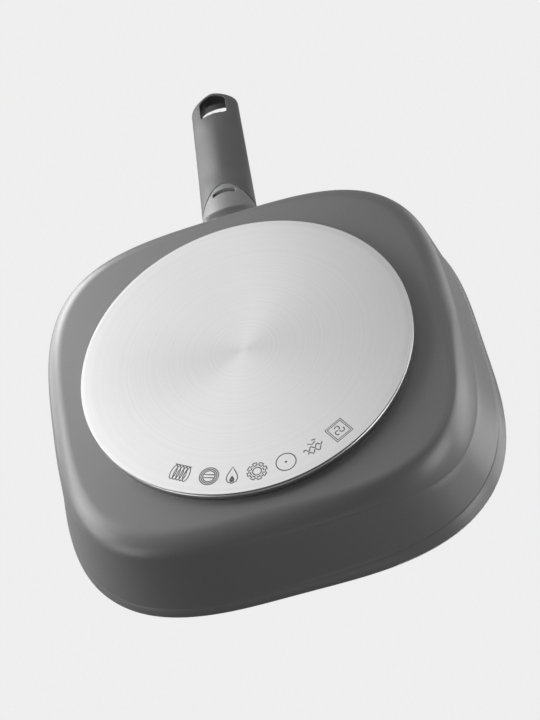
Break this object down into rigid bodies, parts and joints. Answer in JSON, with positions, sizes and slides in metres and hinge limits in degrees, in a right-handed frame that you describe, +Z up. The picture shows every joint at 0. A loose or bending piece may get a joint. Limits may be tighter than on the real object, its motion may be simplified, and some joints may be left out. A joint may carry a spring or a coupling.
{
  "type": "grill pan",
  "caption": "Square cast grill pan with ribbed floor, round hob base, corner pouring spout and a click-off handle with thumb release and hanging hole.",
  "frame": {"origin": "middle of the steel disc's underside, where the pan stands on the hob", "axes": "+Z up out of the pan's mouth, +X along the handle away from the pan, +Y to the right of someone who holds the handle and looks at the pan"},
  "size_m": [0.4165, 0.2477, 0.0813],
  "materials": {
    "coated_casting": "cast aluminium with a satin grey non-stick coat",
    "turned_aluminium": "bare turned aluminium",
    "turned_steel": "stainless steel with fine circular turning marks",
    "soft_touch": "grey soft-touch coat on moulded plastic",
    "plain_steel": "plain stamped steel"
  },
  "bodies": {
    "pan": {"pan_body": "coated_casting", "base_core": "turned_aluminium", "induction_plate": "turned_steel", "rivet_left": "turned_aluminium", "rivet_right": "turned_aluminium", "handle_bracket": "coated_casting"},
    "handle": {"handle_grip": "soft_touch", "handle_cover": "soft_touch", "tang": "plain_steel", "latch_pin": "plain_steel", "latch_spring": "plain_steel", "tang_screw_front": "plain_steel", "tang_screw_rear": "plain_steel"},
    "button": {"release_button": "soft_touch"},
    "catch": {"latch": "plain_steel"}
  },
  "joints": [
    {"name": "handle_slide", "type": "slide", "parent": "pan", "child": "handle", "axis": [0.9744, 0, 0.225], "range_m": [0, 0.06]},
    {"name": "button_press", "type": "slide", "parent": "handle", "child": "button", "axis": [0.225, 0, -0.9744], "range_m": [0, 0.0025], "stiffness_N_per_m": 800},
    {"name": "latch_pivot", "type": "hinge", "parent": "handle", "child": "catch", "pos_m": [0.1843, 0, 0.05023], "axis": [0, 1, 0], "range_deg": [0, 6], "deforming": ["latch_spring"]}
  ],
  "couplings": [
    {"joint": "latch_pivot", "follows": "button_press", "rad_per_m": 41.667}
  ]
}
